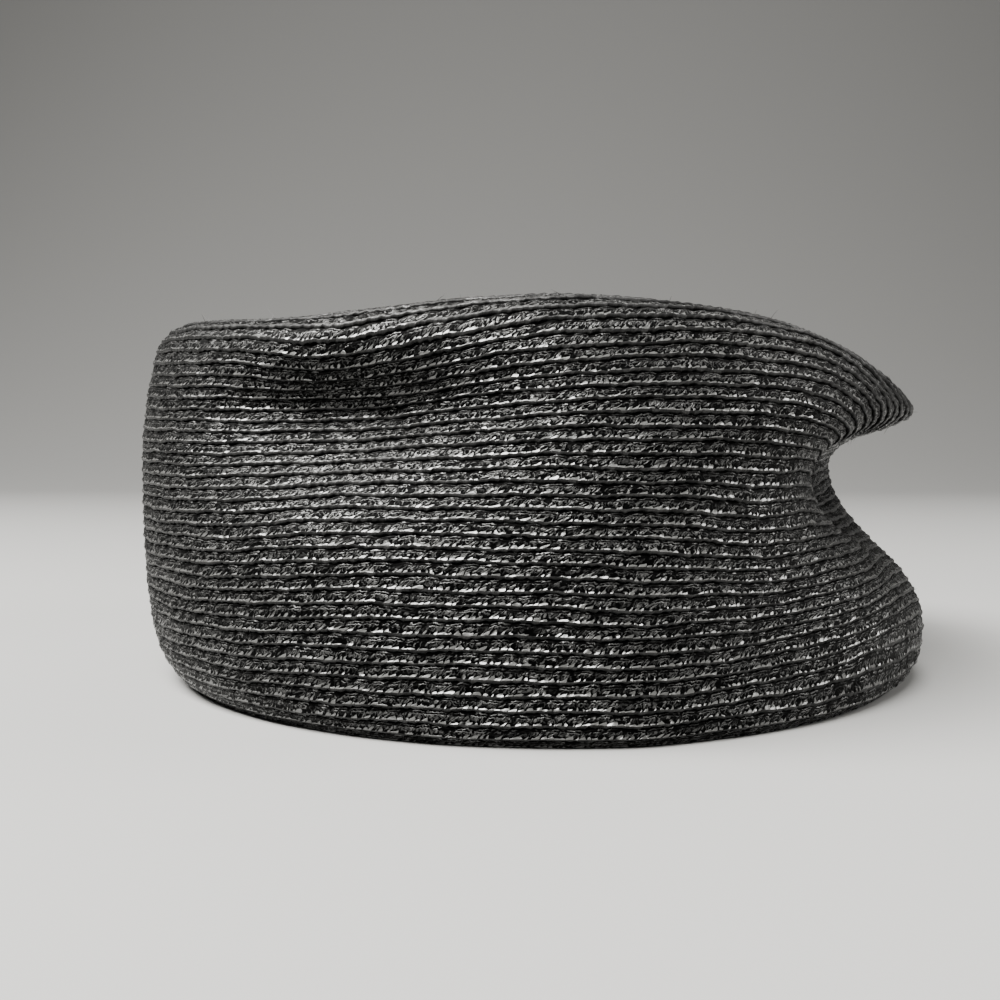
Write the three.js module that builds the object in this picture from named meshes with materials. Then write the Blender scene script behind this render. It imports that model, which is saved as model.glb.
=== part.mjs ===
// A soft pillbox hat, sewn row over row from one long plaited straw braid.
//
// Millimetres, +Z up. The hat rests on its rim at z = 0, with the origin under the middle of its
// bounding box. Azimuth 0 is the front, which faces -Y, and azimuths grow towards +X. Places on
// the hat are an azimuth and an arc length, measured from the rim up the wall and over the top.
//
// The braid runs on from the top into the side wall without a seam, so the hat is one solid:
// a resting shape, round and smooth, that a few named folds push in, push out or let droop.

import * as THREE from "three";
import { mergeVertices } from "three/addons/utils/BufferGeometryUtils.js";

// ---- Driving dimensions of the resting shape ----

const BELLY_RADIUS = 95; // the widest part of the side wall
const WALL = 2; // two layers of braid, where one row overlaps the next
const RIM_TUCK = 8; // how far the last rows turn in under the hat...
const TUCK_HEIGHT = 5; // ...and how fast that fades with height
const LOW_IN = 3; // slower narrowing of the lower wall...
const LOW_HEIGHT = 45; // ...below this height
const CROWN_HEIGHT = 82.5; // height of the crown edge
const CORNER_RADIUS = 8; // roundness of the crown edge
const WALL_LEAN = THREE.MathUtils.degToRad(15); // lean of the wall where it meets that corner...
const LEAN_FROM = 50; // ...growing from none at this height
const DOME = 3; // rise of the top, from its edge to its centre
const CENTRE_HOLD = 45; // folds die out within this radius of the top's centre

// ---- Folds ----
// azimuth, reach: the middle of the fold and its spread round the hat, in degrees.
// at, below, above: its middle and its spread down and up the wall, in mm of arc length.
// push: how far it moves the wall inwards. drop: how far it lowers it.
const FOLDS = [
  { name: "side pocket", azimuth: 74, reach: 28, at: 53, below: 17, above: 10, push: 37, drop: 0 },
  { name: "side droop", azimuth: 76, reach: 32, at: 92, below: 20, above: 60, push: 0, drop: 17 },
  { name: "low bulge", azimuth: 84, reach: 26, at: 8, below: 16, above: 18, push: -4, drop: 0 },
  { name: "front rim", azimuth: 14, reach: 55, at: 0, below: 9, above: 9, push: -6, drop: 0 },
  { name: "left trough", azimuth: -24, reach: 19, at: 65, below: 16, above: 9, push: 11, drop: 0 },
  { name: "left sag", azimuth: -34, reach: 20, at: 88, below: 18, above: 40, push: 0, drop: 2.3 },
  { name: "front rise", azimuth: 4, reach: 12, at: 88, below: 18, above: 40, push: 0, drop: -0.65 },
  { name: "front ridge", azimuth: 12, reach: 7, at: 26, below: 26, above: 20, push: -1.5, drop: 0 },
  { name: "front facet", azimuth: 32, reach: 14, at: 34, below: 20, above: 18, push: 4, drop: 0 },
];

// ---- Fineness of the faceted wall ----

const AROUND = 72; // facets round the hat
const WALL_RINGS = 22; // rings from the rim to the crown edge
const TOP_RINGS = 5; // rings from there to the centre
const PROFILE_STEPS = 240; // steps of the polyline that measures arc length, on the wall and the top
const CORNER_STEPS = 60; // and on the crown edge between them
const NUDGE = 0.5; // step in mm and degrees between the points that give a wall's direction

const STRAW = { color: 0x16161a, roughness: 0.42, metalness: 0.0 };

// ---- The resting profile: (radius, height), from the rim to the centre of the top ----

const WALL_TOP = CROWN_HEIGHT - CORNER_RADIUS * (1 - Math.sin(WALL_LEAN));
const EDGE_RADIUS = wallRadius(WALL_TOP) - CORNER_RADIUS * Math.cos(WALL_LEAN);

// Radius of the side wall at height z: tucked in at the rim, full at the belly, leaning in above.
function wallRadius(z) {
  const tuck = RIM_TUCK * Math.exp(-z / TUCK_HEIGHT);
  const low = LOW_IN * Math.max(0, 1 - z / LOW_HEIGHT) ** 2;
  const leaning = WALL_TOP - LEAN_FROM;
  const lean = (Math.tan(WALL_LEAN) * leaning * Math.max(0, (z - LEAN_FROM) / leaning) ** 2) / 2;
  return BELLY_RADIUS - tuck - low - lean;
}

// The wall, the rounded crown edge and the domed top, as one polyline.
function restingProfile() {
  const points = [];
  for (let i = 0; i < PROFILE_STEPS; i++) {
    const z = (WALL_TOP * i) / PROFILE_STEPS;
    points.push(new THREE.Vector2(wallRadius(z), z));
  }
  const cornerHeight = CROWN_HEIGHT - CORNER_RADIUS;
  const corner = new THREE.EllipseCurve(
    EDGE_RADIUS, cornerHeight, CORNER_RADIUS, CORNER_RADIUS, WALL_LEAN, Math.PI / 2,
  );
  points.push(...corner.getPoints(CORNER_STEPS));
  for (let i = 1; i <= PROFILE_STEPS; i++) {
    const share = 1 - i / PROFILE_STEPS;
    points.push(new THREE.Vector2(EDGE_RADIUS * share, CROWN_HEIGHT + DOME * (1 - share ** 2)));
  }
  return points;
}

const profile = restingProfile();
const arcs = [0];
for (let i = 1; i < profile.length; i++) {
  arcs.push(arcs[i - 1] + profile[i].distanceTo(profile[i - 1]));
}
const ARC_TOTAL = arcs.at(-1);
const ARC_EDGE = ARC_TOTAL - EDGE_RADIUS; // arc length at the crown edge

// The point of the resting profile at arc length s.
function restingPoint(s) {
  const i = Math.min(Math.max(arcs.findIndex((arc) => arc >= s), 1), arcs.length - 1);
  return profile[i - 1].clone().lerp(profile[i], (s - arcs[i - 1]) / (arcs[i] - arcs[i - 1]));
}

// ---- The folded wall ----

const bell = (x) => Math.exp(-x * x); // 1 in the middle, fading to either side
const wrapDegrees = (angle) => THREE.MathUtils.euclideanModulo(angle + 180, 360) - 180;

// A point of the outer face, at an azimuth in degrees and an arc length s.
function outerPoint(azimuth, s) {
  const { x: restRadius, y: restHeight } = restingPoint(s);
  const held = THREE.MathUtils.smoothstep(restRadius, 0, CENTRE_HOLD);
  let radius = restRadius;
  let height = restHeight;
  for (const fold of FOLDS) {
    const along = s - fold.at;
    const weight =
      held *
      bell(wrapDegrees(azimuth - fold.azimuth) / fold.reach) *
      bell(along / (along < 0 ? fold.below : fold.above));
    radius -= fold.push * weight;
    height -= fold.drop * weight;
  }
  const turn = THREE.MathUtils.degToRad(azimuth);
  return new THREE.Vector3(radius * Math.sin(turn), -radius * Math.cos(turn), height);
}

// The point of the inner face behind it: one wall thickness in along the outer face's normal.
// At the rim the two faces end level, so the hat has a flat edge to rest on.
function innerPoint(azimuth, s) {
  const turn = THREE.MathUtils.degToRad(azimuth);
  const outer = outerPoint(azimuth, s);
  if (s === 0) {
    const inwards = new THREE.Vector3(-Math.sin(turn), Math.cos(turn), 0);
    return outer.addScaledVector(inwards, WALL);
  }
  if (s === ARC_TOTAL) return outer.setZ(outer.z - WALL);
  const round = outerPoint(azimuth + NUDGE, s).sub(outerPoint(azimuth - NUDGE, s));
  const upwards = outerPoint(azimuth, s + NUDGE).sub(outerPoint(azimuth, s - NUDGE));
  return outer.addScaledVector(round.cross(upwards).normalize(), -WALL);
}

// ---- The solid ----

// Arc lengths of the rings of facets: even up the wall, then even over the top.
const rings = [];
for (let i = 0; i < WALL_RINGS; i++) rings.push((ARC_EDGE * i) / WALL_RINGS);
for (let i = 0; i < TOP_RINGS; i++) rings.push(ARC_EDGE + (EDGE_RADIUS * i) / TOP_RINGS);

// The triangles of one face of the wall, closed at its centre point.
function faceTriangles(pointAt) {
  const grid = rings.map((s) =>
    Array.from({ length: AROUND }, (_, k) => pointAt((360 * k) / AROUND, s)),
  );
  const centre = pointAt(0, ARC_TOTAL);
  const triangles = [];
  for (let k = 0; k < AROUND; k++) {
    const next = (k + 1) % AROUND;
    for (let i = 0; i + 1 < rings.length; i++) {
      const [a, b, c, d] = [grid[i][k], grid[i][next], grid[i + 1][next], grid[i + 1][k]];
      triangles.push([a, b, c], [a, c, d]);
    }
    triangles.push([grid.at(-1)[k], grid.at(-1)[next], centre]);
  }
  return { triangles, rim: grid[0] };
}

// Both faces of the wall and the flat edge between them, as one closed body.
function hatGeometry() {
  const outer = faceTriangles(outerPoint);
  const inner = faceTriangles(innerPoint);
  const triangles = [...outer.triangles, ...inner.triangles.map(([a, b, c]) => [a, c, b])];
  for (let k = 0; k < AROUND; k++) {
    const next = (k + 1) % AROUND;
    const [a, b, c, d] = [outer.rim[k], outer.rim[next], inner.rim[next], inner.rim[k]];
    triangles.push([a, c, b], [a, d, c]);
  }
  const geometry = new THREE.BufferGeometry().setFromPoints(triangles.flat());
  const merged = mergeVertices(geometry, 1e-3);
  merged.computeVertexNormals();
  return merged;
}

function crown() {
  const mesh = new THREE.Mesh(hatGeometry(), new THREE.MeshStandardMaterial(STRAW));
  mesh.name = "crown";
  return mesh;
}

// ---- The hat, moved so that the origin is under the middle of its bounding box ----

const hat = new THREE.Group();
const straw = crown();
const middle = new THREE.Box3().setFromObject(straw).getCenter(new THREE.Vector3());
straw.position.set(-middle.x, -middle.y, 0);
hat.add(straw);

export default hat;
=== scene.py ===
# %% [markdown]
# # A sewn straw pillbox hat
#
# The real hat is one long, narrow, plaited straw braid. A milliner starts it as a tight coil at
# the middle of the top and sews it to itself, turn after turn, each new turn lapped a little over
# the last, until the spiral has become a top, a rounded edge and a side wall. Nothing else holds
# its shape, so it slumps and dents where it has been handled.
#
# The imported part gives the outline: one thin solid with its folds. This lesson puts the braid on
# it. Lengths in the cells are millimetres, as a maker would write them, and every mesh is turned
# into metres when it is made.

from collections import namedtuple
from functools import partial, reduce

import bmesh
import bpy
import numpy as np
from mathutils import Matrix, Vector


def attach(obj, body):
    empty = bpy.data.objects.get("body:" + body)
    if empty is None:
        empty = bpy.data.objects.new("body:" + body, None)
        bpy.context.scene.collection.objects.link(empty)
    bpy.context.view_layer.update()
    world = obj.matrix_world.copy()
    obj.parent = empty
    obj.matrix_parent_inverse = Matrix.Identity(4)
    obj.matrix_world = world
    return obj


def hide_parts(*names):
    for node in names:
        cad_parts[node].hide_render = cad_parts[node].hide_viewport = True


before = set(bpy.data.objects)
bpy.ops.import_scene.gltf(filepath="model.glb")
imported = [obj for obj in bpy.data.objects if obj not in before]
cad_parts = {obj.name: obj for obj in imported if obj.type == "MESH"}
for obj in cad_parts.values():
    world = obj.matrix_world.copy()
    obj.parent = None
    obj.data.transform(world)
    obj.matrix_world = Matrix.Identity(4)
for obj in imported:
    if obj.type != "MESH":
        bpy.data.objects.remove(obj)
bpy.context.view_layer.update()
MM = 0.001

# %% [markdown]
# ## The camera
#
# The eye is close, a little above half the hat's height, and looks almost level at its front. A
# camera so near shows the wall with a strong curve, and hides nearly all of the top. It stays
# above the floor that the hat rests on.

# %% Camera
CAMERA_PLACE = (-0.4, -304.1, 56.0)  # millimetres, in the hat's frame
CAMERA_TURN = 1.449  # degrees to the left of straight ahead
CAMERA_DIP = 2.848  # degrees below level
CAMERA_LENS = 42.7  # millimetres, on a sensor 36 wide

lens = bpy.data.cameras.new("camera")
lens.lens = CAMERA_LENS
lens.sensor_width = 36.0
lens.clip_start = 0.01
camera = bpy.data.objects.new("camera", lens)
camera.location = [length * MM for length in CAMERA_PLACE]
camera.rotation_euler = np.radians([90.0 - CAMERA_DIP, 0.0, CAMERA_TURN])
bpy.context.scene.collection.objects.link(camera)
bpy.context.scene.camera = camera
print("camera at", np.round(camera.location, 4))

# %% [markdown]
# ## The resting shape
#
# Before any fold, the hat is a surface of revolution. A point on it is an azimuth and an arc
# length: how far round the hat it lies, and how far along a line drawn from the rim, up the wall
# and over the top to the middle. Lathes and spun curves could make such a shape too, but a
# function of two numbers lets every later piece ask where the surface is.

# %% Resting profile
BELLY_RADIUS = 95.0  # the widest part of the side wall
RIM_TUCK = 8.0  # how far the last rows turn in under the hat...
TUCK_HEIGHT = 5.0  # ...and how fast that fades with height
LOW_IN = 3.0  # slower narrowing of the lower wall...
LOW_HEIGHT = 45.0  # ...below this height
CROWN_HEIGHT = 82.5  # height of the crown edge
CORNER_RADIUS = 8.0  # roundness of the crown edge
WALL_LEAN = np.radians(15.0)  # lean of the wall where it meets that corner...
LEAN_FROM = 50.0  # ...growing from none at this height
DOME = 3.0  # rise of the top, from its edge to its middle
WALL_STEPS = 1200  # points of the line that measures arc length: up the wall...
CORNER_STEPS = 200  # ...round the crown edge...
TOP_STEPS = 1000  # ...and over the top

WALL_TOP = CROWN_HEIGHT - CORNER_RADIUS * (1.0 - np.sin(WALL_LEAN))


def wall_radius(height):
    """Belly radius, less a tuck that fades as exp(-height), a low narrowing and a lean."""
    tuck = RIM_TUCK * np.exp(-height / TUCK_HEIGHT)
    low = LOW_IN * np.clip(1.0 - height / LOW_HEIGHT, 0.0, 1.0) ** 2
    leaning = WALL_TOP - LEAN_FROM
    share = np.clip((height - LEAN_FROM) / leaning, 0.0, 1.0)
    return BELLY_RADIUS - tuck - low - 0.5 * np.tan(WALL_LEAN) * leaning * share**2


def resting_profile():
    """Radius, height and arc length of the wall, a quarter-turn corner and a domed top."""
    wall_z = np.linspace(0.0, WALL_TOP, WALL_STEPS)
    wall_r = wall_radius(wall_z)
    edge_radius = wall_r[-1] - CORNER_RADIUS * np.cos(WALL_LEAN)
    angle = np.linspace(WALL_LEAN, np.pi / 2, CORNER_STEPS)[1:]
    corner_r = edge_radius + CORNER_RADIUS * np.cos(angle)
    corner_z = CROWN_HEIGHT - CORNER_RADIUS + CORNER_RADIUS * np.sin(angle)
    share = np.linspace(1.0, 0.0, TOP_STEPS)[1:]
    radius = np.concatenate([wall_r, corner_r, edge_radius * share])
    height = np.concatenate([wall_z, corner_z, CROWN_HEIGHT + DOME * (1.0 - share**2)])
    steps = np.hypot(np.diff(radius), np.diff(height))
    return radius, height, np.concatenate([[0.0], np.cumsum(steps)])


REST_RADIUS, REST_HEIGHT, REST_ARC = resting_profile()
ARC_TOTAL = REST_ARC[-1]
print("rim to middle of the top:", round(ARC_TOTAL, 1), "mm of arc")

# %% [markdown]
# ## The folds
#
# The real hat has slumped. Its side is pinched into a deep pocket, the crown edge above droops
# over it like a beak, and the rest of the wall has shallow troughs and ridges. Each fold is one
# row of a table: where it is, how far it spreads, and how far it pushes the wall in or lets it
# drop. Every fold fades as a bell curve. Sculpting could do this once, but the table is the same
# one that the solid part was built from, so the braid lies exactly on it.

# %% Folds
# azimuth, reach: the middle of the fold and its spread round the hat, in degrees.
# at, below, above: its middle and its spread down and up the wall, in millimetres of arc.
# push: how far it moves the wall inwards. drop: how far it lowers it.
Fold = namedtuple("Fold", "name azimuth reach at below above push drop")
FOLDS = [
    Fold("side pocket", 74, 28, 53, 17, 10, 37, 0),
    Fold("side droop", 76, 32, 92, 20, 60, 0, 17),
    Fold("low bulge", 84, 26, 8, 16, 18, -4, 0),
    Fold("front rim", 14, 55, 0, 9, 9, -6, 0),
    Fold("left trough", -24, 19, 65, 16, 9, 11, 0),
    Fold("left sag", -34, 20, 88, 18, 40, 0, 2.3),
    Fold("front rise", 4, 12, 88, 18, 40, 0, -0.65),
    Fold("front ridge", 12, 7, 26, 26, 20, -1.5, 0),
    Fold("front facet", 32, 14, 34, 20, 18, 4, 0),
]
CENTRE_HOLD = 45.0  # folds die out within this radius of the top's middle
BOX_MERIDIANS = 72  # the solid part has so many facets round it
BOX_STEPS = 120


def smoothstep(share):
    """0 below 0, 1 above 1, and 3x^2 - 2x^3 between, which starts and ends level."""
    share = np.clip(share, 0.0, 1.0)
    return share * share * (3.0 - 2.0 * share)


def bell(fold, azimuth, along):
    """1 in the middle of a fold, fading as exp(-(around / reach)^2 - (along / spread)^2)."""
    around = (azimuth - fold.azimuth + 180.0) % 360.0 - 180.0
    spread = np.where(along < 0.0, fold.below, fold.above)
    return np.exp(-((around / fold.reach) ** 2) - (along / spread) ** 2)


def folded_point(azimuth, arc):
    """The resting point, moved in by each push and down by each drop, times the fold's bell."""
    radius = np.interp(arc, REST_ARC, REST_RADIUS)
    height = np.interp(arc, REST_ARC, REST_HEIGHT)
    held = smoothstep(radius / CENTRE_HOLD)
    for fold in FOLDS:
        weight = held * bell(fold, azimuth, arc - fold.at)
        radius = radius - fold.push * weight
        height = height - fold.drop * weight
    turn = np.radians(azimuth)
    return np.stack([radius * np.sin(turn), -radius * np.cos(turn), height], axis=-1)


def middle_of_box():
    """Half-way point, in x and y, of the folded surface's bounding box."""
    azimuth = np.linspace(0.0, 360.0, BOX_MERIDIANS + 1)[:, None]
    arc = np.linspace(0.0, ARC_TOTAL, BOX_STEPS)[None, :]
    points = folded_point(azimuth, arc).reshape(-1, 3)
    return (points.min(axis=0) + points.max(axis=0)) / 2.0 * [1.0, 1.0, 0.0]


SHIFT = middle_of_box()
print("the hat's axis stands at", np.round(-SHIFT[:2], 2), "mm")

# %% [markdown]
# ## Rows on the folded wall
#
# The same number of turns lies between the rim and the middle whichever way they are counted, so
# where a fold makes the way longer, the rows stand a little further apart. That is also what
# lets the real hat fold without puckering. A table of folded length, measured along lines from
# the rim to the middle, turns "so many rows up" into an arc length. Handling has also drawn some
# rows closer together and others apart, and a second table of bells, a few round numbers, says
# where, and by how many rows.

# %% Rows
ROWS = 66
MERIDIANS = 720
FRACTION_STEPS = 1400
ARC_STEPS = 1500
# azimuth, reach: the middle of the crowding and its spread round the hat, in degrees.
# row, below, above: its middle and its spread down and up, in rows.
# rows: how many more rows lie below it there than an even spacing would put.
Crowd = namedtuple("Crowd", "name azimuth reach row below above rows")
CROWDS = [
    Crowd("trough", -16, 24, 30, 6, 6, 1.5),
    Crowd("left of the trough", -54, 26, 31, 10, 7, 1.2),
    Crowd("front", -8, 22, 12, 8, 6, -0.6),
    Crowd("facet", 30, 10, 15, 5, 5, 0.7),
    Crowd("right rim", 58, 22, 5, 6, 6, -1.6),
]
CROWD_FROM = 5.0  # rows above the rim over which crowding grows from none


def row_fraction(azimuth, row):
    """Share of the way up at which a row lies: its number less the table's bells, over all rows."""
    drawn = 0.0
    for crowd in CROWDS:
        drawn = drawn + crowd.rows * bell(crowd, azimuth, row - crowd.row)
    return (row - drawn * smoothstep(row / CROWD_FROM)) / ROWS


def row_table():
    """For each meridian, the arc length at equal fractions of its own folded length."""
    azimuth = np.linspace(-180.0, 180.0, MERIDIANS + 1)
    arc = np.linspace(0.0, ARC_TOTAL, ARC_STEPS)
    points = folded_point(azimuth[:, None], arc[None, :])
    steps = np.linalg.norm(np.diff(points, axis=1), axis=2)
    length = np.concatenate([np.zeros((len(azimuth), 1)), np.cumsum(steps, axis=1)], axis=1)
    column = 2.0 * np.arange(len(azimuth))[:, None]
    known = (length / length[:, -1:] + column).ravel()
    wanted = np.linspace(0.0, 1.0, FRACTION_STEPS + 1)[None, :] + column
    table = np.interp(wanted.ravel(), known, np.tile(arc, len(azimuth)))
    return table.reshape(wanted.shape), length[:, -1]


ARC_TABLE, MERIDIAN_LENGTH = row_table()


def arc_at(azimuth, fraction):
    """Arc length at an azimuth and a fraction of the way up, read between four table entries."""
    column = ((azimuth + 180.0) % 360.0) / 360.0 * MERIDIANS
    level = np.clip(fraction, 0.0, 1.0) * FRACTION_STEPS
    left = np.minimum(column.astype(int), MERIDIANS - 1)
    low = np.minimum(level.astype(int), FRACTION_STEPS - 1)
    across = column - left
    up = level - low
    bottom = ARC_TABLE[left, low] * (1 - across) + ARC_TABLE[left + 1, low] * across
    top = ARC_TABLE[left, low + 1] * (1 - across) + ARC_TABLE[left + 1, low + 1] * across
    return bottom * (1 - up) + top * up


RIM_BLEND = 8.0  # below this arc length, relief stands out level instead of square to the wall
NUDGE_AROUND = 0.4  # degrees, and...
NUDGE_UP = 0.5  # ...millimetres of arc, between the points that give a surface's direction
UPRIGHT = 1e-6  # a hint that makes the direction upwards at the very middle of the top


def unit(vectors):
    """Each vector over its own length."""
    return vectors / np.linalg.norm(vectors, axis=-1, keepdims=True)


def surface_point(azimuth, fraction, height):
    """A point so high above the folded surface, square to it: surface + height * normal."""
    arc = arc_at(azimuth, fraction)
    point = folded_point(azimuth, arc)
    around = folded_point(azimuth + NUDGE_AROUND, arc) - folded_point(azimuth - NUDGE_AROUND, arc)
    upwards = folded_point(azimuth, arc + NUDGE_UP) - folded_point(azimuth, arc - NUDGE_UP)
    normal = unit(np.cross(around, upwards) + [0.0, 0.0, UPRIGHT])
    turn = np.radians(azimuth)
    level = np.stack([np.sin(turn), -np.cos(turn), np.zeros_like(turn)], axis=-1)
    blend = smoothstep(arc / RIM_BLEND)[..., None]
    outward = unit(level * (1.0 - blend) + normal * blend)
    point = point + height[..., None] * outward - SHIFT
    point[..., 2] = np.maximum(point[..., 2], 0.0)
    return point


print("row pitch:", np.round(MERIDIAN_LENGTH.min() / ROWS, 2), "to",
      np.round(MERIDIAN_LENGTH.max() / ROWS, 2), "mm")

# %% [markdown]
# ## The braid as one strip
#
# The braid is a true spiral: one strip from its tapered end at the back of the rim to the middle
# of the top. Round the wall each turn runs level and climbs to the next row at the back, where
# the milliner eases it in. Near the middle it climbs evenly. The lower edge wanders by a fraction
# of a millimetre, as hand-guided sewing does.

# %% Edge of the braid
JOG_FROM = 0.85  # share of a turn, counted from the back, after which the braid climbs a row
EVEN_FROM = 50.0  # turns after which it climbs evenly...
EVEN_OVER = 10.0  # ...fading in over this many
STEADY_RIM = 2.0  # turns from the rim before the edge starts to wander
STEADY_COIL = 6.0  # last turns, over which it stops
# per_turn: waves in a turn. size: in rows. start: share of a wave at the back of the rim.
Wander = namedtuple("Wander", "per_turn size start")
WANDERS = [
    Wander(4.3, 0.030, 0.13),
    Wander(9.7, 0.030, 0.71),
    Wander(17.9, 0.045, 0.37),
    Wander(31.3, 0.035, 0.94),
    Wander(53.1, 0.030, 0.22),
    Wander(97.7, 0.030, 0.58),
]


def row_edge(turn):
    """Lower edge of the braid, in rows above the rim, so many turns from the braid's end."""
    whole = np.floor(turn)
    part = turn - whole
    climb = smoothstep((part - JOG_FROM) / (1.0 - JOG_FROM))
    even = smoothstep((turn - EVEN_FROM) / EVEN_OVER)
    level = whole + climb + (part - climb) * even - 1.0
    wander = sum(w.size * np.sin(2 * np.pi * (w.per_turn * turn + w.start)) for w in WANDERS)
    loose = smoothstep(turn - STEADY_RIM) * smoothstep((ROWS - turn) / STEADY_COIL)
    return np.clip(level + wander * loose, 0.0, ROWS)


print("edge after 10 turns:", round(float(row_edge(np.array(10.0))), 2), "rows")

# %% [markdown]
# ## One row in section
#
# Cut across, a row of braid starts hidden behind its own lower edge, comes out round the
# selvedge, stands proudest where the straw loops over it, and falls back until it dives behind
# the next row. The table gives that section, point by point, and how much of each repeating
# detail shows there: the dashes of the looped edge, the slanting strokes of the plait and the
# lobes where a bundle of straw runs along before it turns.

# %% Section of a row
# across: place across the row, 0 at its own edge and 1 at the next. height: in millimetres.
# slant: how far it leans along the row, in plaits. scallop: how far a dash moves it across.
# dash, stroke, lobe: how high each of those details stands there, in millimetres.
Spot = namedtuple("Spot", "name across height slant scallop dash stroke lobe")
SECTION = [
    Spot("crease", 0.17, -1.10, 0.00, 0.00, 0.00, 0.00, 0.00),
    Spot("underside", 0.01, -0.65, 0.00, 0.00, 0.00, 0.00, 0.00),
    Spot("selvedge", -0.05, -0.20, 0.02, 0.07, 0.08, 0.00, 0.00),
    Spot("band", 0.05, 0.14, 0.04, 0.05, 0.09, 0.00, 0.00),
    Spot("loop", 0.20, 0.22, 0.09, 0.02, 0.09, 0.03, 0.00),
    Spot("furrow", 0.40, -0.08, 0.21, 0.02, 0.00, 0.08, 0.00),
    Spot("stroke", 0.57, -0.02, 0.30, 0.00, 0.00, 0.13, 0.03),
    Spot("lobe", 0.76, -0.10, 0.41, 0.00, 0.00, 0.05, 0.14),
    Spot("fall", 0.93, -0.34, 0.49, 0.00, 0.00, 0.00, 0.20),
]
NEXT_CREASE = 1.17  # where the row ends, behind the next row's edge
POINTS = len(SECTION)
SPOTS = {name: np.array([getattr(s, name) for s in SECTION]) for name in Spot._fields[1:]}
print("a row has", POINTS, "points across")

# %% [markdown]
# ## Where the spiral is split
#
# The spiral is split at the back into runs of eight or nine turns, because one mesh of the whole
# braid would be too heavy to hand on. The wall's turns are all about as long, so they have the
# same number of plaits. On the top the turns shrink, and so does that number, so that the straw
# keeps its size. The straw's slant is taken from a number that changes smoothly instead, because
# the end of one run and the start of the next have to lean alike, or a slit opens between them.

# %% Runs of the spiral
Run = namedtuple("Run", "name first last plaits")
RUNS = [
    Run("braid_wall_1", 0.86, 9, 148),
    Run("braid_wall_2", 9, 17, 148),
    Run("braid_wall_3", 17, 26, 148),
    Run("braid_wall_4", 26, 34, 146),
    Run("braid_top_1", 34, 43, 114),
    Run("braid_top_2", 43, 51, 80),
    Run("braid_top_3", 51, 59, 50),
    Run("braid_top_4", 59, 66, 24),
]


def plaits_near(turn):
    """Plaits in a turn, on straight lines from the middle of one run to the middle of the next."""
    middles = [(run.first + run.last) / 2.0 for run in RUNS]
    return np.interp(turn, middles, [run.plaits for run in RUNS])


print("plaits where the top's runs begin:", plaits_near([r.first for r in RUNS[4:]]).round(1))

# %% [markdown]
# ## Carrying the section along the strip
#
# The strip is a grid: columns along the braid, section points across it. Six columns make one
# plait, which is three strokes, two dashes and one lobe. The last point of a column is the first
# point of the column one whole turn later, so neighbouring turns share their crease and the
# whole outside is one closed skin. Seeded random numbers make each stroke and dash a little
# stronger or weaker than the next. An array modifier along a curve could repeat one plait, but
# every plait would then be the same, and the creases would be left open.

# %% Section along the strip
PER_PLAIT = 6  # columns
DASHES = 2  # to a plait
STROKES = 3
DASH_REACH = 0.6  # how far chance makes one dash stronger or weaker than the next
STROKE_REACH = 0.9
LOBE_SWING = 2.0  # a lobe's arch, in times its height in the table...
LOBE_START = 1.2  # ...and how far below level it starts
RELIEF_GROWTH = 1.15  # full relief is reached a little before the braid's full width
ODD_PART = 0.37  # plaits added to each turn, so that they never line up row over row
TUCKED_BELOW = -0.5  # section points lower than this are tucked behind the row's own edge
LIFT = 0.05  # slow rise and fall of a row where the sewing is tighter or looser
LIFTS = [(13.7, 0.4), (29.3, 0.9)]  # waves in a turn, and the share of one it starts at
RIM_DEPTH = 1.7  # how far in from the outer face the rim's edge turns under...
RIM_LAP = 1.1  # ...and the point beside it
RIM_ROWS = 0.3  # share of a row over which that fades


def wave(place, count, rng, reach):
    """A cosine of that many waves a plait, each wave with its own random strength."""
    cell = np.floor(place * count + 0.5).astype(int)
    strength = 1.0 + reach * (2.0 * rng.random(cell.max() + 2) - 1.0)
    return np.cos(2 * np.pi * place * count) * strength[cell]


def plait_place(turn, plaits):
    """Plaits counted along the strip: turns times plaits to a turn, with the odd part added."""
    return (plaits + ODD_PART) * (turn - np.floor(turn[0]))


def braid_points(turn, plaits, seed):
    """Section points carried along the strip, one row of points for each turn value."""
    rng = np.random.default_rng(seed)
    low = row_edge(turn)[:, None]
    width = row_edge(turn + 1.0)[:, None] - low
    relief = np.clip(RELIEF_GROWTH * width, 0.0, 1.0)
    place = plait_place(turn, plaits)[:, None]
    slant = SPOTS["slant"] / plaits_near(turn)[:, None]
    azimuth = 360.0 * (turn[:, None] + slant) - 180.0
    dash = wave(place, DASHES, rng, DASH_REACH)
    stroke = wave(place, STROKES, rng, STROKE_REACH)
    lobe = np.abs(np.sin(np.pi * place)) * LOBE_SWING - LOBE_START
    lift = sum(np.sin(2 * np.pi * (per_turn * turn + start)) for per_turn, start in LIFTS)
    height = SPOTS["height"] + LIFT * lift[:, None] * (SPOTS["height"] > TUCKED_BELOW)
    height = height + SPOTS["dash"] * dash + SPOTS["stroke"] * stroke + SPOTS["lobe"] * lobe
    across = SPOTS["across"] + SPOTS["scallop"] * dash
    rim = 1.0 - smoothstep(low / RIM_ROWS)
    turned_under = np.array([-RIM_DEPTH, -RIM_LAP] + [0.0] * (POINTS - 2))
    hidden = turned_under < 0.0
    height = np.where(hidden, height * (1 - rim) + turned_under * rim, height * relief)
    across = np.where(hidden, across * (1 - rim), across)
    across = np.where(across < 0.0, across * (1 - rim), across)
    return surface_point(azimuth, row_fraction(azimuth, low + across * width), height)


print("a plait:", DASHES, "dashes,", STROKES, "strokes and one lobe in", PER_PLAIT, "columns")

# %% [markdown]
# ## From arrays to a mesh
#
# A grid of points becomes a mesh once each face knows the numbers of its corners. Those numbers
# are worked out as arrays too, and handed to Blender in one go, which is far quicker than adding
# faces one by one. Every new piece goes through the same helper, which also names the solid it
# stands for and the body it rides on.

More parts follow.
